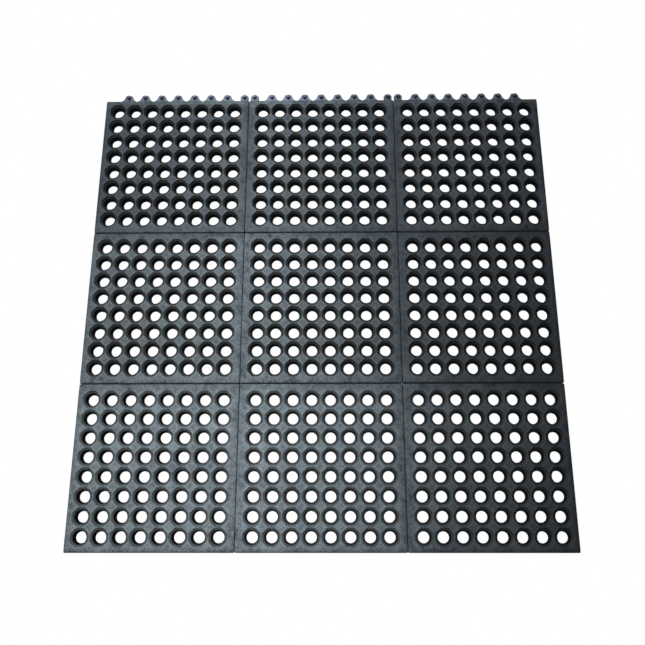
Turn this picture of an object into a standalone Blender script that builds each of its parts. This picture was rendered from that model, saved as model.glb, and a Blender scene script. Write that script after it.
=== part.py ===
"""Interlocking rubber drainage mat, 3 ft square and 5/8 in thick, for standing at a work place.

Nine tiles lie three by three, and each has an eight by eight grid of tapered octagonal drainage holes.
Along the back of the mat flat tabs stand out at floor level, one between every two holes, and each
carries an upright stud. The front of the mat has a pocket for each tab and a socket for each stud in
its underside, so mats join in a row. Inside the mat the tiles join the same way, with fewer tabs:
each row of tiles to the row behind it, and each column to the column on its right.

Metres, +Z up. The origin is on the floor at the centre of the whole outline, tabs included, and +Y
points to the back edge.
"""

import math

import bmesh
import bpy
from mathutils import Matrix

MM = 0.001
MAT_SIDE = 914.4 * MM  # 3 ft, without the tabs
THICKNESS = 15.9 * MM  # 5/8 in

# Drainage holes, measured from a hole's centre to the flats of its octagon
HOLE_PITCH = 35.35 * MM
HOLES_PER_SIDE = 8
HOLE_SIDES = 8
RIM_RADIUS = 15.5 * MM
DRAIN_RADIUS = 10.2 * MM

# Tiles
SEAM_BORDER = 30 * MM  # centre line of the last holes to the seam
SEAM_GAP = 0.6 * MM
CORNER_CUT = 1.5 * MM
GRID_SPAN = (HOLES_PER_SIDE - 1) * HOLE_PITCH
TILE_PITCH = GRID_SPAN + 2 * SEAM_BORDER
SEAM_REACH = TILE_PITCH / 2  # tile centre to a seam
EDGE_REACH = MAT_SIDE / 2 - TILE_PITCH  # tile centre to an outer edge of the mat

# Tabs and studs. A tab tapers at 45 degrees, to fit between two holes of the mat that receives it.
TAB_LENGTH = 20 * MM
TAB_HALF = 15.5 * MM
TAB_TIP_HALF = 4 * MM
TAB_HEIGHT = 6 * MM
END_TAB_HALF = 8.4 * MM
END_TAB_INSET = 11 * MM  # centre of a tile's end tab to the seam beside it
STUD_CENTRE = 13 * MM
STUD_HALF = 3.6 * MM
STUD_HEIGHT = 12.5 * MM
PLAY = 0.5 * MM
RUN_IN = 2 * MM  # how far joined shapes overlap, and cutters pass the face they cut

ROWS = {"front": -1, "middle": 0, "back": 1}
COLUMNS = {"left": -1, "centre": 0, "right": 1}
END_STEP = HOLES_PER_SIDE // 2
MAT_STEPS = range(-END_STEP, END_STEP + 1)  # tab places along the mat's own edge, in hole pitches
ROW_STEPS = (-3, 0, 3)  # along the seam between two rows
COLUMN_STEPS = (-2, 2)  # along the seam between two columns


def clear_scene():
    for item in list(bpy.data.objects):
        bpy.data.objects.remove(item)


def add_prism(mesh, outline, low, high, top_outline=None):
    """Adds the closed solid over a counter-clockwise outline, between two heights."""
    bottom = [mesh.verts.new((x, y, low)) for x, y in outline]
    top = [mesh.verts.new((x, y, high)) for x, y in top_outline or outline]
    mesh.faces.new(list(reversed(bottom)))
    mesh.faces.new(top)
    for a in range(len(bottom)):
        b = (a + 1) % len(bottom)
        mesh.faces.new((bottom[a], bottom[b], top[b], top[a]))


def octagon(x, y, flat_radius):
    corner_radius = flat_radius / math.cos(math.pi / HOLE_SIDES)
    angles = [(2 * k + 1) * math.pi / HOLE_SIDES for k in range(HOLE_SIDES)]
    return [(x + corner_radius * math.cos(a), y + corner_radius * math.sin(a)) for a in angles]


def object_from(name, mesh):
    data = bpy.data.meshes.new(name)
    mesh.to_mesh(data)
    mesh.free()
    made = bpy.data.objects.new(name, data)
    bpy.context.scene.collection.objects.link(made)
    return made


def combine(target, other, operation):
    """Joins or cuts target by other with an applied Boolean, and removes other."""
    boolean = target.modifiers.new(operation.title(), "BOOLEAN")
    boolean.operation = operation
    boolean.object = other
    graph = bpy.context.evaluated_depsgraph_get()
    result = bpy.data.meshes.new_from_object(target.evaluated_get(graph))
    target.modifiers.clear()
    target.data = result
    bpy.data.objects.remove(other)


def reach(place, side):
    """Tile centre to the tile's face on that side, -1 or 1. place is the tile's row or column."""
    return EDGE_REACH if place == side else SEAM_REACH - SEAM_GAP / 2


def slab(name, column, row):
    """The tile's plain body, with its four upright corners cut."""
    left, right = -reach(column, -1), reach(column, 1)
    front, back = -reach(row, -1), reach(row, 1)
    cut = CORNER_CUT
    outline = [
        (right, front + cut), (right, back - cut), (right - cut, back), (left + cut, back),
        (left, back - cut), (left, front + cut), (left + cut, front), (right - cut, front),
    ]
    mesh = bmesh.new()
    add_prism(mesh, outline, 0, THICKNESS)
    return object_from(name, mesh)


def hole_cutters():
    """Tapered octagons, one for each drainage hole, running past both faces of the tile."""
    slope = (RIM_RADIUS - DRAIN_RADIUS) / THICKNESS
    places = [k * HOLE_PITCH - GRID_SPAN / 2 for k in range(HOLES_PER_SIDE)]
    mesh = bmesh.new()
    for x in places:
        for y in places:
            low = octagon(x, y, DRAIN_RADIUS - slope * RUN_IN)
            high = octagon(x, y, RIM_RADIUS + slope * RUN_IN)
            add_prism(mesh, low, -RUN_IN, THICKNESS + RUN_IN, high)
    return object_from("hole_cutters", mesh)


def tab_centre(step):
    if abs(step) == END_STEP:
        return math.copysign(SEAM_REACH - END_TAB_INSET, step)
    return step * HOLE_PITCH


def add_tab(mesh, step, play, floor):
    """A tab pointing +Y from its face at y = 0. play grows it into the pocket that receives it."""
    x, tip = tab_centre(step), TAB_LENGTH + play
    half = play + (END_TAB_HALF if abs(step) == END_STEP else TAB_HALF)
    half_tip = TAB_TIP_HALF + play * math.tan(math.pi / 8)  # half the 45 degree taper
    shoulder = tip - (half - half_tip)
    outline = [
        (x - half, -RUN_IN), (x + half, -RUN_IN), (x + half, shoulder),
        (x + half_tip, tip), (x - half_tip, tip), (x - half, shoulder),
    ]
    add_prism(mesh, outline, floor, TAB_HEIGHT + play)


def add_stud(mesh, step, play):
    x, half = tab_centre(step), STUD_HALF + play
    near, far = STUD_CENTRE - half, STUD_CENTRE + half
    outline = [(x - half, near), (x + half, near), (x + half, far), (x - half, far)]
    add_prism(mesh, outline, TAB_HEIGHT - RUN_IN, STUD_HEIGHT + play)


def joint(tile, steps, turn, start, operation):
    """Adds tabs and studs to a tile, or cuts the pockets and sockets that receive them.

    They point +Y from y = start, and then turn about Z takes them to their edge. Pockets start at the
    face of the tile whose tabs they receive, a seam gap in front of the tile's own face.
    """
    cutting = operation == "DIFFERENCE"
    play, floor = (PLAY, -RUN_IN) if cutting else (0, 0)
    place = Matrix.Rotation(turn, 4, "Z") @ Matrix.Translation((0, start, 0))
    tabs, studs = bmesh.new(), bmesh.new()
    for step in steps:
        add_tab(tabs, step, play, floor)
        add_stud(studs, step, play)
    for name, mesh in (("tabs", tabs), ("studs", studs)):
        bmesh.ops.transform(mesh, matrix=place, verts=mesh.verts)
        combine(tile, object_from(name, mesh), operation)


def build_tile(name, column, row):
    tile = slab(name, column, row)
    combine(tile, hole_cutters(), "DIFFERENCE")
    # The outer corners of the mat have no tab.
    mat_steps = [step for step in MAT_STEPS if not (column and step == column * END_STEP)]
    right_turn = -math.pi / 2
    joint(tile, mat_steps if row == 1 else ROW_STEPS, 0, reach(row, 1), "UNION")
    joint(tile, mat_steps if row == -1 else ROW_STEPS, 0, -reach(row, -1) - SEAM_GAP, "DIFFERENCE")
    if column < 1:
        joint(tile, COLUMN_STEPS, right_turn, reach(column, 1), "UNION")
    if column > -1:
        joint(tile, COLUMN_STEPS, right_turn, -reach(column, -1) - SEAM_GAP, "DIFFERENCE")
    tile.location = (column * TILE_PITCH, row * TILE_PITCH - TAB_LENGTH / 2, 0)
    return tile


def rubber(name):
    """Black moulded rubber with a faint sheen."""
    material = bpy.data.materials.new(name)
    material.use_nodes = True
    shader = material.node_tree.nodes["Principled BSDF"]
    shader.inputs["Base Color"].default_value = (0.022, 0.026, 0.030, 1)
    shader.inputs["Roughness"].default_value = 0.62
    return material


def main():
    clear_scene()
    for row_name, row in ROWS.items():
        for column_name, column in COLUMNS.items():
            tile = build_tile(f"tile_{row_name}_{column_name}", column, row)
            tile.data.materials.clear()
            tile.data.materials.append(rubber(f"rubber_{row_name}_{column_name}"))


main()
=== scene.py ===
"""Looks of an interlocking rubber drainage mat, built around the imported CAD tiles.

Each tile is one moulded piece of black rubber. Its top is a net of rounded ridges round octagonal
holes, with shallow diamond pads between the ridges. A hole has a rounded mouth, a sloping step and a
round bore that narrows towards the floor.
"""

import math

import bmesh
import bpy
import numpy as np
from mathutils import Matrix, Vector


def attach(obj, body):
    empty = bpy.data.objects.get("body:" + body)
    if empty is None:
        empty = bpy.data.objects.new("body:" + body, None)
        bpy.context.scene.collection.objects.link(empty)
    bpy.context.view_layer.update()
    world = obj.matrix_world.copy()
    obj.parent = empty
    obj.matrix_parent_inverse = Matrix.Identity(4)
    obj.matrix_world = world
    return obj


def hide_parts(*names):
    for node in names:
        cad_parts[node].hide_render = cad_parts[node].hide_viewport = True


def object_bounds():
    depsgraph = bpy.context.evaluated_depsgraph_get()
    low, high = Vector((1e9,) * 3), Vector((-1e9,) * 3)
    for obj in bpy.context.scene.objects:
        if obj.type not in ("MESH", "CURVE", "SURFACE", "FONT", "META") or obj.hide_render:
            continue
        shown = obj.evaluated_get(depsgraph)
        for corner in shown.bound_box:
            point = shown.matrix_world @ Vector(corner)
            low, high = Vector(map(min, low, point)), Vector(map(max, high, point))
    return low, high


MM = 0.001

# The same sizes as the CAD, in millimetres
MAT_SIDE = 914.4
HOLE_PITCH = 35.35
HOLES_PER_SIDE = 8
SEAM_BORDER = 30.0
SEAM_GAP = 0.6
GRID_SPAN = (HOLES_PER_SIDE - 1) * HOLE_PITCH
TILE_PITCH = GRID_SPAN + 2 * SEAM_BORDER
SEAM_REACH = TILE_PITCH / 2
EDGE_REACH = MAT_SIDE / 2 - TILE_PITCH
TAB_LENGTH = 20.0
TAB_HALF = 15.5
TAB_TIP_HALF = 4.0
TAB_HEIGHT = 6.0
END_TAB_HALF = 8.4
END_TAB_INSET = 11.0
STUD_CENTRE = 13.0
STUD_HEIGHT = 12.5
PLAY = 0.5
ROWS = {"front": -1, "middle": 0, "back": 1}
COLUMNS = {"left": -1, "centre": 0, "right": 1}
END_STEP = HOLES_PER_SIDE // 2
MAT_STEPS = range(-END_STEP, END_STEP + 1)
ROW_STEPS = (-3, 0, 3)
COLUMN_STEPS = (-2, 2)

# The dust on the top, with a painted sheen in it: how much it covers at places across the mat, in
# millimetres from its middle, and where along the mat one row's values give way to the next one's.
# The painted sheen makes it lightest a little left of the middle and at the front, fading to the
# right and towards the back
DUST_AND_SHEEN_PLACES = (-430, -110, 106, 240, 430)
DUST_AND_SHEEN_FILMS = {
    "front": (0.71, 0.96, 0.65, 0.27, 0.11),
    "middle": (0.51, 0.78, 0.36, 0.21, 0.10),
    "back": (0.22, 0.53, 0.26, 0.25, 0.14),
}
DUST_AND_SHEEN_CHANGES = ((-200, -110), (110, 200))

# Factors for the film on the plain borders of the tiles, and on the one along the mat's back edge
BORDER_DUST = 0.72
BACK_EDGE_DUST = 1.2

# How much of the dust shows at some depths below the top, in millimetres: dust that stays there, and
# painted shade that darkens the holes with depth, by its own amount in each row
DUST_DEPTHS = (6.0, 3.5, 2.7, 0.7, 0.0)
DUST_AND_SHADE_SHARES = {
    "front": (0.0, 0.03, 0.48, 0.68, 1.0),
    "middle": (0.0, 0.05, 0.22, 0.36, 1.0),
    "back": (0.0, 0.0, 0.08, 0.60, 1.0),
}

# Painted light and shade round the mouth of a hole, none in the front row and most in the back: lighter
# where the way from the hole's centre leads towards +X, and darker where it leads towards +Y and a little
# to -X
SIDE_LIGHT_BY_ROW = {"front": 0.0, "middle": 0.35, "back": 0.9}
PAINTED_LIGHT_GAIN = 0.4
PAINTED_SHADE_LOSS = 0.95
SHADED_WAY = (-0.25, 0.95)
MOUTH_BAND = 1.9  # how far the mouth's rounding reaches past the rim, in millimetres
MOUTH_FADE = 0.8  # the width over which the painted light and shade sets in

# Heights and distances, in millimetres, where looks change
CREST_OFFSET = 2.4  # from a flat of the rim out to the crest of the ridge, lighter from wear and a painted highlight
CREST_WIDTH = 1.2
CREST_DEPTH = 1.2
DUST_FOOT = 0.5  # the height on a tile's sides and tabs where the dust starts
SKIN_REACH = 0.6  # how far the bare skin of the underside reaches up into the holes

# Colours of the bare rubber and of its dust, some with painted light and shade in them, and how much
# the lighter ones show
RUBBER_TOP = (0.0024, 0.0031, 0.0048)
RUBBER_SKIN = (0.018, 0.021, 0.026)
DUST_THIN = (0.014, 0.022, 0.036)
DUST_THICK = (0.236, 0.275, 0.308)
# A darker dust tone down the holes: painted shade
DUST_SHADED_IN_HOLES = (0.142, 0.160, 0.166)
# Lighter ridge crests: wear, and a painted highlight of the light on their rounding
RIDGE_WEAR_AND_HIGHLIGHT = (0.190, 0.222, 0.266)
# The tabs along the back: dust, with a painted bluish reflection of the back window light
TAB_DUST_AND_REFLECTION = (0.33, 0.38, 0.54)
RIDGE_WEAR_AND_HIGHLIGHT_SHARE = 0.60
TAB_REFLECTION_SHARE = 0.80
ROUGHNESS = 0.42
MOTTLED_ROUGHNESS = 0.34

# Moulded detail, in millimetres
RIM_RADIUS = 15.5  # hole centre to a flat of the octagonal mouth
BORE_RADIUS = 12.1  # of the round bore, at its top
WAIST_RADIUS = 11.1  # of the round bore, at a depth of WAIST_DEPTH
WAIST_DEPTH = 10.5
DRAIN_RADIUS = 10.1  # of the round bore, at the floor
FLAT_SEGMENTS = 3
CELL_HALF = HOLE_PITCH / 2
FLAT_HALF = CELL_HALF * math.tan(math.pi / 8)  # half a side of the octagon that fills a cell
GRID_REACH = HOLES_PER_SIDE * CELL_HALF  # tile centre to the outside of its outer cells
RIDGE_SLOPE = 1.0  # width of the slope from a ridge down to its pad
PAD_DEPTH = 0.25
WEB_SADDLE = (0.7, 0.7, 0.65, 0.5, 0.25)  # how far a cell's rings, from its edge in, sink between holes
FOOT_SLOPE = 2.0
FOOT_DEPTH = 1.2  # of the channels in the underside
TOP_FILLET = 4.2  # width of the rounding along a tile's upper edges
ROW_DROP = 3.4  # its height on the front and back sides
COLUMN_DROP = 1.4  # and on the left and right sides
FLOOR_FILLET = 0.8
CORNER_ROUND = 2.2
LEAST_ROUND = 0.3
CORNER_STEPS = 5
FLANK_RADIUS = 8.7  # of a tab's hollow sides, which run together halfway between two tabs
FLANK_FOOT = 6.5  # from the tile's face to where they would meet
FLANK_END = math.radians(78)  # turn of a hollow side from its foot to the tip
FLANK_STEPS = 6
SHOULDER_ROUND = 2.2
TIP_HALF = 6.0
TIP_ROUND = 4.2
OUTLINE_STEPS = 4
STUD_RADIUS = 3.9
STUD_STEPS = 20
TAB_TOP_ROUND = 1.8
TAB_FLOOR_ROUND = 0.4
STUD_TOP_ROUND = 2.6
POCKET_ROUND = 0.3
SOCKET_ROUND = 0.5
RUN_IN = 3.0  # how far joined shapes overlap, and cutters pass the face they cut
WELD = 0.001
TOLERANCE = 0.01
SHARP_ANGLE = math.radians(50)

# Studio, in metres
STUDIO_REACH = 6.0  # of the floor and the dome
FLOOR_GAP = 0.0005
CAMERA_LENS = 37.80  # millimetres, for a sensor 36 mm wide
CAMERA_PLACE = (0.0159, -0.3878, 1.2756)  # from the middle of the mat, its tabs left out
CAMERA_TURN = (15.652, 0.601, -0.017)  # degrees

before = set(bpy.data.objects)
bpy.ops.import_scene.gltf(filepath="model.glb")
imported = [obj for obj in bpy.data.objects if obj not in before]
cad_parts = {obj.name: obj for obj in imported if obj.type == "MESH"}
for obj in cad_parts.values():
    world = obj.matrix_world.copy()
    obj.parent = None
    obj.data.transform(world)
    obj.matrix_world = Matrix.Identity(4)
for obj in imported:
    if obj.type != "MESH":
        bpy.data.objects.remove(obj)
CAD_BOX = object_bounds()
THICKNESS = CAD_BOX[1].z / MM
Y_SHIFT = (CAD_BOX[0].y + CAD_BOX[1].y) / 2 / MM - TAB_LENGTH / 2  # the mat's middle, its tabs left out


# Mesh building

class Shell:
    """Faces gathered loose, each with its own corners, then welded into one closed mesh."""

    def __init__(self):
        self.points, self.faces = [], []

    def face(self, corners):
        start = len(self.points)
        self.points.extend(corners)
        self.faces.append(range(start, start + len(corners)))

    def strip(self, first, second):
        """Quads between two closed rows of points, walked the same way round."""
        for a in range(len(first)):
            b = (a + 1) % len(first)
            self.face([first[a], first[b], second[b], second[a]])

    def mesh(self):
        made = bmesh.new()
        corners = [made.verts.new(point) for point in self.points]
        for face in self.faces:
            made.faces.new([corners[k] for k in face])
        bmesh.ops.remove_doubles(made, verts=made.verts, dist=WELD)
        bmesh.ops.dissolve_degenerate(made, edges=made.edges, dist=WELD)
        return made


def object_from(name, mesh):
    data = bpy.data.meshes.new(name)
    mesh.to_mesh(data)
    mesh.free()
    made = bpy.data.objects.new(name, data)
    bpy.context.scene.collection.objects.link(made)
    return made


def combine(target, other, operation):
    """Joins or cuts target by other with an applied Boolean, and removes other."""
    boolean = target.modifiers.new(operation.title(), "BOOLEAN")
    boolean.operation = operation
    boolean.object = other
    graph = bpy.context.evaluated_depsgraph_get()
    result = bpy.data.meshes.new_from_object(target.evaluated_get(graph))
    target.modifiers.clear()
    target.data = result
    bpy.data.objects.remove(other)


# One hole with the ridges and pads round it, which repeats all over a tile

def hole_rings():
    """The surface of a cell from its top edge through the hole to its edge on the floor.

    Each ring is (radius, height, roundness): an octagon's flat radius at roundness 0, a circle's at 1.
    """
    top = THICKNESS
    return [
        (CELL_HALF, top, 0.0),
        (RIM_RADIUS + 1.8, top - 0.08, 0.0),
        (RIM_RADIUS + 1.2, top - 0.32, 0.0),
        (RIM_RADIUS + 0.6, top - 0.80, 0.1),
        (RIM_RADIUS, top - 1.4, 0.2),
        (RIM_RADIUS - 0.6, top - 2.05, 0.35),
        (RIM_RADIUS - 1.2, top - 2.6, 0.5),
        (RIM_RADIUS - 1.9, top - 3.05, 0.7),
        (BORE_RADIUS + 0.6, top - 3.4, 0.9),
        (BORE_RADIUS + 0.15, top - 3.7, 1.0),
        (BORE_RADIUS - 0.05, top - 4.4, 1.0),
        (WAIST_RADIUS, top - WAIST_DEPTH, 1.0),
        (DRAIN_RADIUS, 0.6, 1.0),
        (DRAIN_RADIUS + 0.15, 0.15, 1.0),
        (DRAIN_RADIUS + 0.6, 0.0, 1.0),
        (CELL_HALF, 0.0, 0.0),
    ]


def ring_points(radius, height, roundness):
    """Points round the hole, with a point on each corner of the octagon."""
    points = []
    half = math.tan(math.pi / 8)
    for side in range(8):
        for step in range(FLAT_SEGMENTS):
            along = half * (2 * step / FLAT_SEGMENTS - 1)
            angle = side * math.pi / 4 + math.atan(along)
            length = radius * ((1 - roundness) * math.hypot(1, along) + roundness)
            points.append((length * math.cos(angle), length * math.sin(angle), height))
    return points


def saddle(ring, depth, open_sides):
    """The ring, sunk in the middle of the open sides. Sides 0, 2, 4 and 6 face +X, +Y, -X and -Y."""
    sunk = list(ring)
    for side in open_sides:
        for step in range(1, FLAT_SEGMENTS):
            x, y, z = ring[side * FLAT_SEGMENTS + step]
            sunk[side * FLAT_SEGMENTS + step] = (x, y, z - depth)
    return sunk


def corner_pad(height, sink, slope, beside_x, beside_y):
    """Faces of the quarter pad in a cell's +X +Y corner, sunk by sink inside the ridge round it.

    beside_x and beside_y tell whether a border strip lies along the cell's +X and +Y sides.
    """
    far_x = CELL_HALF - slope * beside_x
    far_y = CELL_HALF - slope * beside_y
    inner_sum = CELL_HALF + FLAT_HALF + slope * math.sqrt(2)
    low = height - sink
    shares = [k / FLAT_SEGMENTS for k in range(FLAT_SEGMENTS + 1)]
    ridge = [
        (CELL_HALF + (FLAT_HALF - CELL_HALF) * t, FLAT_HALF + (CELL_HALF - FLAT_HALF) * t, height)
        for t in shares
    ]
    start, end = (far_x, inner_sum - far_x), (inner_sum - far_y, far_y)
    sunk = [
        (start[0] + (end[0] - start[0]) * t, start[1] + (end[1] - start[1]) * t, low)
        for t in shares
    ]
    corner, outer = (far_x, far_y, low), (CELL_HALF, CELL_HALF, height)
    faces = []
    for k in range(FLAT_SEGMENTS):
        faces.append([ridge[k], sunk[k], sunk[k + 1], ridge[k + 1]])
        faces.append([sunk[k], corner, sunk[k + 1]])
    if beside_x:
        faces.append([ridge[0], outer, corner, sunk[0]])
    if beside_y:
        faces.append([sunk[-1], corner, outer, ridge[-1]])
    return faces


def add_cell(shell, column, row):
    """The cell at that place of the tile's grid. Cells on the grid's outside lie beside a border strip."""
    last = HOLES_PER_SIDE - 1
    x, y = column * HOLE_PITCH - GRID_SPAN / 2, row * HOLE_PITCH - GRID_SPAN / 2
    ends = ((0, column == last), (2, row == last), (4, column == 0), (6, row == 0))
    open_sides = [side for side, at_end in ends if not at_end]
    rings = [ring_points(*ring) for ring in hole_rings()]
    for k, depth in enumerate(WEB_SADDLE):
        rings[k] = saddle(rings[k], depth, open_sides)
    rings = [[(x + a, y + b, z) for a, b, z in ring] for ring in rings]
    for upper, lower in zip(rings, rings[1:]):
        shell.strip(upper, lower)
    for side_x in (-1, 1):
        for side_y in (-1, 1):
            beside_x = column == (0 if side_x < 0 else last)
            beside_y = row == (0 if side_y < 0 else last)
            top = corner_pad(THICKNESS, PAD_DEPTH, RIDGE_SLOPE, beside_x, beside_y)
            under = corner_pad(0.0, -FOOT_DEPTH, FOOT_SLOPE, beside_x, beside_y)
            for faces, flip in ((top, side_x * side_y < 0), (under, side_x * side_y > 0)):
                for face in faces:
                    placed = [(x + side_x * a, y + side_y * b, z) for a, b, z in face]
                    shell.face(placed[::-1] if flip else placed)


# A tile's border, from the cells over the edge and back under them

def side_places():
    """Where the cells have points along one side of the grid, from one end to the other."""
    places = [-GRID_REACH]
    for k in range(HOLES_PER_SIDE):
        middle = k * HOLE_PITCH - GRID_SPAN / 2
        places += [middle + FLAT_HALF * (2 * s / FLAT_SEGMENTS - 1) for s in range(FLAT_SEGMENTS + 1)]
        places.append(middle + CELL_HALF)
    return places


def border_ring(reaches, inset, height, sink=0.0):
    """A row of points round the tile, inset from its faces, or along the cells when inset is None.

    reaches are the distances from the tile's centre to its front, right, back and left faces. sink is
    the share of the way down the rounding along its upper edges, which is steeper in front and behind.
    """
    drops = (ROW_DROP, COLUMN_DROP) * 2
    points = []
    for side in range(4):
        turn = Matrix.Rotation(side * math.pi / 2, 3, "Z")
        face, next_face = reaches[side], reaches[(side + 1) % 4]
        drop, next_drop = drops[side] * sink, drops[side - 1] * sink
        line = GRID_REACH if inset is None else face - inset
        points += [turn @ Vector((x, -line, height - drop)) for x in side_places()]
        for step in range(1, CORNER_STEPS):
            if inset is None:
                points.append(turn @ Vector((GRID_REACH, -GRID_REACH, height)))
                continue
            share = step / CORNER_STEPS
            angle = math.pi / 2 * (share - 1)
            whole = max(CORNER_ROUND, inset + LEAST_ROUND)
            radius = whole - inset
            x = next_face - whole + radius * math.cos(angle)
            y = whole - face + radius * math.sin(angle)
            points.append(turn @ Vector((x, y, height - drop + (drop - next_drop) * share)))
    return points


def add_border(shell, reaches):
    rounds = [math.radians(a) for a in (0, 22.5, 45, 67.5, 90)]
    profile = [(None, THICKNESS)]
    profile += [(TOP_FILLET * (1 - math.sin(a)), THICKNESS, 1 - math.cos(a)) for a in rounds]
    profile += [
        (FLOOR_FILLET * (1 - math.cos(a)), FLOOR_FILLET * (1 - math.sin(a))) for a in rounds[::2]
    ]
    profile.append((None, 0.0))
    rings = [border_ring(reaches, *place) for place in profile]
    for upper, lower in zip(rings, rings[1:]):
        shell.strip(lower, upper)


# Tabs and studs, and the pockets and sockets that receive them

def rounded(corners, radii):
    """An outline with its corners rounded, each by its own radius. A radius of 0 leaves a corner sharp."""
    outline = []
    for k, (corner, radius) in enumerate(zip(corners, radii)):
        if not radius:
            outline.append(Vector(corner))
            continue
        before, after = Vector(corners[k - 1]), Vector(corners[(k + 1) % len(corners)])
        corner = Vector(corner)
        back, ahead = (before - corner).normalized(), (after - corner).normalized()
        half_angle = back.angle(ahead) / 2
        centre = corner + (back + ahead).normalized() * radius / math.sin(half_angle)
        start = corner + back * radius / math.tan(half_angle) - centre
        end = corner + ahead * radius / math.tan(half_angle) - centre
        sweep = start.angle_signed(end)
        for step in range(OUTLINE_STEPS + 1):
            outline.append(centre + Matrix.Rotation(-sweep * step / OUTLINE_STEPS, 2) @ start)
    return outline


def shrunk(outline, inset):
    """The outline moved inwards by about inset, towards its middle along its own normals."""
    count = len(outline)
    moved = []
    for k, point in enumerate(outline):
        along = (outline[(k + 1) % count] - outline[k - 1]).normalized()
        moved.append(point + inset * Vector((-along.y, along.x)))
    return moved


def rounded_solid(outline, low, high, top_fillet, low_fillet=0.0):
    """A closed solid over a counter-clockwise outline, with its upper and lower edges rounded."""
    angles = [math.radians(a) for a in (0, 30, 60, 90)]
    levels = [(low_fillet * (1 - math.sin(a)), low + low_fillet * (1 - math.cos(a))) for a in angles]
    levels += [(top_fillet * (1 - math.cos(a)), high - top_fillet * (1 - math.sin(a))) for a in angles]
    rows = [[(p.x, p.y, height) for p in shrunk(outline, inset)] for inset, height in levels]
    shell = Shell()
    for lower, upper in zip(rows, rows[1:]):
        shell.strip(lower, upper)
    shell.face(rows[0][::-1])
    shell.face(rows[-1])
    return shell.mesh()


def tab_centre(step):
    if abs(step) == END_STEP:
        return math.copysign(SEAM_REACH - END_TAB_INSET, step)
    return step * HOLE_PITCH


def tab_outline(step, play):
    """The tab seen from above, or with some play the pocket that receives it."""
    tip = TAB_LENGTH + play
    if abs(step) == END_STEP:
        half = END_TAB_HALF + play
        side = [(half, -RUN_IN), (half, tip - half + TAB_TIP_HALF), (TAB_TIP_HALF, tip)]
        radii = [0.0, SHOULDER_ROUND, TIP_ROUND]
    else:
        half, radius = TAB_HALF + play, FLANK_RADIUS - play
        middle = FLANK_FOOT + FLANK_RADIUS
        start = math.asin((CELL_HALF - half) / radius)
        angles = [start + (FLANK_END - start) * k / FLANK_STEPS for k in range(FLANK_STEPS + 1)]
        flank = [(CELL_HALF - radius * math.sin(a), middle - radius * math.cos(a)) for a in angles]
        side = [(half, -RUN_IN), *flank, (TIP_HALF, tip)]
        radii = [0.0, SHOULDER_ROUND, *[0.0] * FLANK_STEPS, TIP_ROUND]
    x = tab_centre(step)
    corners = [(x + a, b) for a, b in side] + [(x - a, b) for a, b in side[::-1]]
    return rounded(corners, radii + radii[::-1])


def circle(centre, radius):
    angles = [2 * math.pi * k / STUD_STEPS for k in range(STUD_STEPS)]
    return [Vector((centre[0] + radius * math.cos(a), centre[1] + radius * math.sin(a))) for a in angles]


def joint_solids(step, cutting):
    """The tab and its stud as closed solids, or the cutters for the pocket and socket."""
    play = PLAY if cutting else 0.0
    outline = tab_outline(step, play)
    stud = circle((tab_centre(step), STUD_CENTRE), STUD_RADIUS + play)
    if cutting:
        return [
            rounded_solid(outline, -RUN_IN, TAB_HEIGHT + play, POCKET_ROUND),
            rounded_solid(stud, TAB_HEIGHT - RUN_IN, STUD_HEIGHT + play, SOCKET_ROUND),
        ]
    return [
        rounded_solid(outline, 0.0, TAB_HEIGHT, TAB_TOP_ROUND, TAB_FLOOR_ROUND),
        rounded_solid(stud, TAB_HEIGHT - RUN_IN, STUD_HEIGHT, STUD_TOP_ROUND),
    ]


def joint(tile, steps, turn, start, operation):
    """Adds tabs and studs to a tile, or cuts the pockets and sockets that receive them.

    They point +Y from y = start, and then turn about Z takes them to their edge.
    """
    place = Matrix.Rotation(turn, 4, "Z") @ Matrix.Translation((0, start, 0))
    for kind in range(2):
        solids = bmesh.new()
        for step in steps:
            part = joint_solids(step, operation == "DIFFERENCE")[kind]
            data = bpy.data.meshes.new("part")
            part.to_mesh(data)
            part.free()
            solids.from_mesh(data)
            bpy.data.meshes.remove(data)
        bmesh.ops.transform(solids, matrix=place, verts=solids.verts)
        combine(tile, object_from("joint", solids), operation)


def reach(place, side):
    """Tile centre to the tile's face on that side, -1 or 1. place is the tile's row or column."""
    return EDGE_REACH if place == side else SEAM_REACH - SEAM_GAP / 2


def dust_and_sheen_at(x, y):
    """How much dust covers the surface there, on a part that faces up, with a painted sheen that is
    lightest a little left of the middle at the front.
    """
    front, middle, back = (np.interp(x, DUST_AND_SHEEN_PLACES, DUST_AND_SHEEN_FILMS[name]) for name in ROWS)
    to_middle, to_back = (np.interp(y, places, (0, 1)) for places in DUST_AND_SHEEN_CHANGES)
    return front + (middle - front) * to_middle + (back - middle) * to_back


def with_painted_side_light(cell, side_light):
    """How many times its share of dust a place gets, with painted light and shade round the hole's mouth.

    cell is measured from the hole's centre.
    """
    x, y = (cell / np.maximum(np.linalg.norm(cell, axis=1, keepdims=True), WELD)).T
    across = np.abs(cell)
    flat = np.maximum(across.max(axis=1), across.sum(axis=1) / math.sqrt(2))
    in_mouth = np.clip((RIM_RADIUS + MOUTH_BAND - flat) / MOUTH_FADE, 0, 1)
    # Painted light on the mouth's +X side, painted shade on its +Y side
    gain = PAINTED_LIGHT_GAIN * np.maximum(x, 0)
    loss = PAINTED_SHADE_LOSS * np.maximum(SHADED_WAY[1] * y + SHADED_WAY[0] * x, 0)
    return 1 + side_light * in_mouth * (gain - loss)


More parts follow.
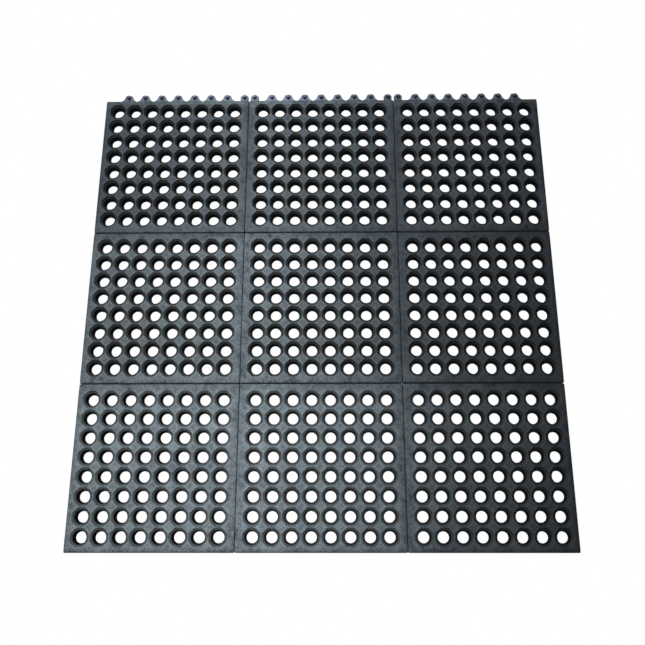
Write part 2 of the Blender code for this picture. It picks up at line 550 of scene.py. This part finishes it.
def mark(mesh, centre, row_name):
    """Stores five values at each point of a tile.

    ridge: how near it is to the crest of a ridge. open: how much of the dust that falls there stays,
    with painted shade that darkens the holes with depth and one side of each mouth.
    tab: 1 on the tabs along the back of the mat. skin: 1 on the sides and the underside. film: how much
    the dust covers, with a painted sheen that fades to the right and towards the back.
    """
    row, shares = ROWS[row_name], DUST_AND_SHADE_SHARES[row_name]
    points = np.empty(len(mesh.vertices) * 3, np.float32)
    mesh.vertices.foreach_get("co", points)
    points = points.reshape(-1, 3)
    height = points[:, 2]
    place = points[:, :2] - centre
    reached = np.abs(place).max(axis=1)
    inside = reached <= GRID_REACH + TOLERANCE
    local = np.clip(place, -GRID_REACH + WELD, GRID_REACH - WELD)
    cell = (local + GRID_REACH) % HOLE_PITCH - CELL_HALF
    diagonal = np.abs(cell).sum(axis=1) / math.sqrt(2)
    crest = np.exp(-(((diagonal - RIM_RADIUS - CREST_OFFSET) / CREST_WIDTH) ** 2))
    near_top = np.clip((height - THICKNESS + CREST_DEPTH) / CREST_DEPTH, 0, 1)
    # Less dust with depth down the holes: partly dust, partly painted shade
    levels = THICKNESS - np.array(DUST_DEPTHS)
    hole_dust_and_shade = np.interp(height, levels, shares) * with_painted_side_light(cell, SIDE_LIGHT_BY_ROW[row_name])
    tab = (row == 1) & (place[:, 1] > reach(row, 1) + TOLERANCE)
    behind = (row == 1) & (place[:, 1] >= GRID_REACH - TOLERANCE)
    border_dust = np.where(behind, BACK_EDGE_DUST, BORDER_DUST)
    on_border = (reached >= GRID_REACH - TOLERANCE) & ~tab
    # Dust cover with a painted sheen, lightest left of the middle at the front
    dust_and_sheen = dust_and_sheen_at(points[:, 0], points[:, 1] - Y_SHIFT) * np.where(on_border, border_dust, 1.0)
    values = {
        "ridge": crest * inside * near_top,
        "open": np.clip(np.where(inside, hole_dust_and_shade, height - DUST_FOOT), 0, 1),
        "tab": tab,
        "skin": np.where(inside, np.clip((SKIN_REACH - height) / SKIN_REACH, 0, 1), 1.0),
        "dust_and_sheen": dust_and_sheen,
    }
    for name, value in values.items():
        layer = mesh.attributes.new(name, "FLOAT", "POINT")
        layer.data.foreach_set("value", value.astype(np.float32))


def build_tile(name, column, row_name):
    row = ROWS[row_name]
    shell = Shell()
    for cell_column in range(HOLES_PER_SIDE):
        for cell_row in range(HOLES_PER_SIDE):
            add_cell(shell, cell_column, cell_row)
    add_border(shell, (reach(row, -1), reach(column, 1), reach(row, 1), reach(column, -1)))
    tile = object_from(name, shell.mesh())
    # The outer corners of the mat have no tab
    mat_steps = [step for step in MAT_STEPS if not (column and step == column * END_STEP)]
    right_turn = -math.pi / 2
    joint(tile, mat_steps if row == 1 else ROW_STEPS, 0, reach(row, 1), "UNION")
    joint(tile, mat_steps if row == -1 else ROW_STEPS, 0, -reach(row, -1) - SEAM_GAP, "DIFFERENCE")
    if column < 1:
        joint(tile, COLUMN_STEPS, right_turn, reach(column, 1), "UNION")
    if column > -1:
        joint(tile, COLUMN_STEPS, right_turn, -reach(column, -1) - SEAM_GAP, "DIFFERENCE")
    centre = (column * TILE_PITCH, row * TILE_PITCH + Y_SHIFT)
    tile.data.transform(Matrix.Translation((*centre, 0)))
    mark(tile.data, np.array(centre), row_name)
    tile.data.transform(Matrix.Scale(MM, 4))
    tile.data.shade_smooth()
    tile.data.set_sharp_from_angle(angle=SHARP_ANGLE)
    tile.modifiers.new("Flat faces stay flat", "WEIGHTED_NORMAL").keep_sharp = True
    return tile


# Material

class Nodes:
    """Short calls for a material's nodes."""

    def __init__(self, material):
        self.tree = material.node_tree

    def add(self, kind, **values):
        node = self.tree.nodes.new(kind)
        for name, value in values.items():
            setattr(node, name, value)
        return node

    def link(self, source, target):
        self.tree.links.new(source, target)

    def noise(self, vector, scale, detail, roughness):
        node = self.add("ShaderNodeTexNoise")
        node.inputs["Scale"].default_value = scale
        node.inputs["Detail"].default_value = detail
        node.inputs["Roughness"].default_value = roughness
        self.link(vector, node.inputs["Vector"])
        return node.outputs["Fac"]

    def spread(self, source, low, high):
        """0 at low, 1 at high, smooth in between."""
        node = self.add("ShaderNodeMapRange", interpolation_type="SMOOTHSTEP")
        node.inputs["From Min"].default_value = low
        node.inputs["From Max"].default_value = high
        self.link(source, node.inputs["Value"])
        return node.outputs["Result"]

    def ramp(self, source, *stops):
        """A colour that runs between two stops, each a place and a colour."""
        node = self.add("ShaderNodeValToRGB")
        for stop, (place, colour) in zip(node.color_ramp.elements, stops):
            stop.position = place
            stop.color = (*colour, 1.0)
        self.link(source, node.inputs["Fac"])
        return node.outputs["Color"]

    def calculate(self, operation, first, second):
        node = self.add("ShaderNodeMath", operation=operation)
        for socket, value in zip(node.inputs, (first, second)):
            if isinstance(value, (int, float)):
                socket.default_value = value
            else:
                self.link(value, socket)
        return node.outputs["Value"]

    def blend(self, *parts):
        """The sum of sources, each with its share."""
        scaled = [self.calculate("MULTIPLY", source, share) for source, share in parts]
        total = scaled[0]
        for part in scaled[1:]:
            total = self.calculate("ADD", total, part)
        return total

    def attribute(self, name):
        return self.add("ShaderNodeAttribute", attribute_name=name).outputs["Fac"]

    def mix(self, share, first, second):
        node = self.add("ShaderNodeMix", data_type="RGBA")
        for name, value in (("Factor", share), ("A", first), ("B", second)):
            socket = next(s for s in node.inputs if s.name == name and s.enabled)
            if isinstance(value, tuple):
                socket.default_value = (*value, 1.0)
            else:
                self.link(value, socket)
        return next(s for s in node.outputs if s.enabled)


def rubber(name, offset):
    """Black moulded rubber: cloudy slate tone, fine grain, dust on top that thins out down the holes, with
    painted shade that darkens them and a painted sheen across the mat.
    """
    material = bpy.data.materials.new(name)
    material.use_nodes = True
    nodes = Nodes(material)
    shader = material.node_tree.nodes["Principled BSDF"]
    normal = nodes.add("ShaderNodeSeparateXYZ")
    nodes.link(nodes.add("ShaderNodeNewGeometry").outputs["Normal"], normal.inputs["Vector"])
    shift = nodes.add("ShaderNodeMapping")
    shift.inputs["Location"].default_value = offset
    nodes.link(nodes.add("ShaderNodeTexCoord").outputs["Object"], shift.inputs["Vector"])
    place = shift.outputs["Vector"]

    clouds = nodes.noise(place, scale=24.0, detail=4.0, roughness=0.6)
    mottle = nodes.noise(place, scale=95.0, detail=4.0, roughness=0.65)
    grain = nodes.noise(place, scale=420.0, detail=4.0, roughness=0.7)
    pits = nodes.noise(place, scale=2400.0, detail=2.0, roughness=0.55)
    flat = nodes.spread(normal.outputs["Z"], low=0.30, high=0.95)
    dust_and_hole_shade = nodes.attribute("open")

    tone = nodes.blend((clouds, 0.20), (mottle, 0.30), (grain, 0.50))
    dust = nodes.ramp(tone, (0.40, DUST_THIN), (0.60, DUST_THICK))
    # Lighter ridge crests: wear, and a painted highlight
    ridge = nodes.calculate("MULTIPLY", nodes.attribute("ridge"), RIDGE_WEAR_AND_HIGHLIGHT_SHARE)
    dust = nodes.mix(ridge, dust, RIDGE_WEAR_AND_HIGHLIGHT)
    # Down the holes the dust turns darker and covers less: painted shade that deepens with depth
    dust = nodes.mix(dust_and_hole_shade, DUST_SHADED_IN_HOLES, dust)
    # Tabs: dust with a painted bluish reflection of the back window light
    tab = nodes.calculate("MULTIPLY", nodes.attribute("tab"), TAB_REFLECTION_SHARE)
    dust = nodes.mix(tab, dust, TAB_DUST_AND_REFLECTION)

    steep = nodes.calculate("SUBTRACT", 1.0, flat)
    skin = nodes.calculate("MULTIPLY", nodes.attribute("skin"), steep)
    bare = nodes.mix(skin, RUBBER_TOP, RUBBER_SKIN)
    # Dust on faces that face up, with the painted shade down the holes
    settled_dust_and_shade = nodes.calculate("MULTIPLY", dust_and_hole_shade, flat)
    # The dust's share, with painted shade down the holes and a painted sheen across the mat
    dust_sheen_and_shade = nodes.calculate("MULTIPLY", settled_dust_and_shade, nodes.attribute("dust_and_sheen"))
    nodes.link(nodes.mix(dust_sheen_and_shade, bare, dust), shader.inputs["Base Color"])

    rough = nodes.calculate("ADD", nodes.calculate("MULTIPLY", mottle, MOTTLED_ROUGHNESS), ROUGHNESS)
    nodes.link(rough, shader.inputs["Roughness"])
    shader.inputs["Specular IOR Level"].default_value = 0.14

    relief = nodes.blend((grain, 0.8), (pits, 0.2), (mottle, 1.2))
    bump = nodes.add("ShaderNodeBump")
    bump.inputs["Strength"].default_value = 0.6
    bump.inputs["Distance"].default_value = 0.0006
    nodes.link(relief, bump.inputs["Height"])
    nodes.link(bump.outputs["Normal"], shader.inputs["Normal"])
    return material


# Studio

def build_studio():
    """A pale floor and a dome, evenly white, that throw no light up into the holes."""
    mesh = bmesh.new()
    bmesh.ops.create_grid(mesh, x_segments=1, y_segments=1, size=STUDIO_REACH)
    bmesh.ops.translate(mesh, verts=mesh.verts, vec=(0, 0, -FLOOR_GAP))
    bmesh.ops.create_uvsphere(mesh, u_segments=48, v_segments=24, radius=STUDIO_REACH)
    studio = object_from("studio", mesh)
    material = bpy.data.materials.new("studio_white")
    material.use_nodes = True
    tree = material.node_tree
    tree.nodes.clear()
    glow = tree.nodes.new("ShaderNodeEmission")
    glow.inputs["Color"].default_value = (1, 1, 1, 1)
    glow.inputs["Strength"].default_value = 1.0
    output = tree.nodes.new("ShaderNodeOutputMaterial")
    tree.links.new(glow.outputs["Emission"], output.inputs["Surface"])
    studio.data.materials.append(material)
    studio.visible_diffuse = False
    studio.visible_glossy = False
    studio.visible_shadow = False
    return studio


def area_light(name, location, target, size, watts, colour):
    data = bpy.data.lights.new(name, "AREA")
    data.shape = "DISK"
    data.size = size
    data.energy = watts
    data.color = colour
    light = bpy.data.objects.new(name, data)
    light.location = location
    light.rotation_euler = (Vector(target) - Vector(location)).to_track_quat("-Z", "Y").to_euler()
    bpy.context.scene.collection.objects.link(light)


def build_lights():
    area_light(
        "softbox",
        location=(-0.55, -0.15, 1.6),
        target=(-0.2, -0.1, 0),
        size=0.9,
        watts=30.0,
        colour=(1.0, 1.0, 0.89),
    )
    area_light(
        "window_back",
        location=(-1.0, 2.7, 3.2),
        target=(-0.1, 0.0, 0),
        size=2.0,
        watts=165.0,
        colour=(0.79, 0.89, 1.0),
    )
    world = bpy.data.worlds.new("studio")
    world.use_nodes = True
    background = world.node_tree.nodes["Background"]
    background.inputs["Color"].default_value = (0.93, 0.96, 1.0, 1)
    background.inputs["Strength"].default_value = 0.10
    bpy.context.scene.world = world


def build_camera():
    data = bpy.data.cameras.new("camera")
    data.sensor_width = 36.0
    data.lens = CAMERA_LENS
    data.clip_start = 0.05
    camera = bpy.data.objects.new("camera", data)
    x, y, z = CAMERA_PLACE
    camera.location = (x, Y_SHIFT * MM + y, z)
    camera.rotation_euler = [math.radians(a) for a in CAMERA_TURN]
    bpy.context.scene.collection.objects.link(camera)
    bpy.context.scene.camera = camera


def main():
    build_camera()
    build_lights()
    build_studio()
    scene = bpy.context.scene
    scene.view_settings.view_transform = "Standard"
    for row_name, row in ROWS.items():
        for column_name, column in COLUMNS.items():
            node = f"tile_{row_name}_{column_name}"
            piece = build_tile(f"moulded_{node}", column, row_name)
            # Metres, so that no two tiles show the same part of the pattern
            offset = (0.37 * column, 0.53 * row, 0.11 * (column + 3 * row))
            piece.data.materials.clear()
            piece.data.materials.append(rubber(f"rubber_{row_name}_{column_name}", offset))
            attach(piece, "root")
            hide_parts(node)


main()
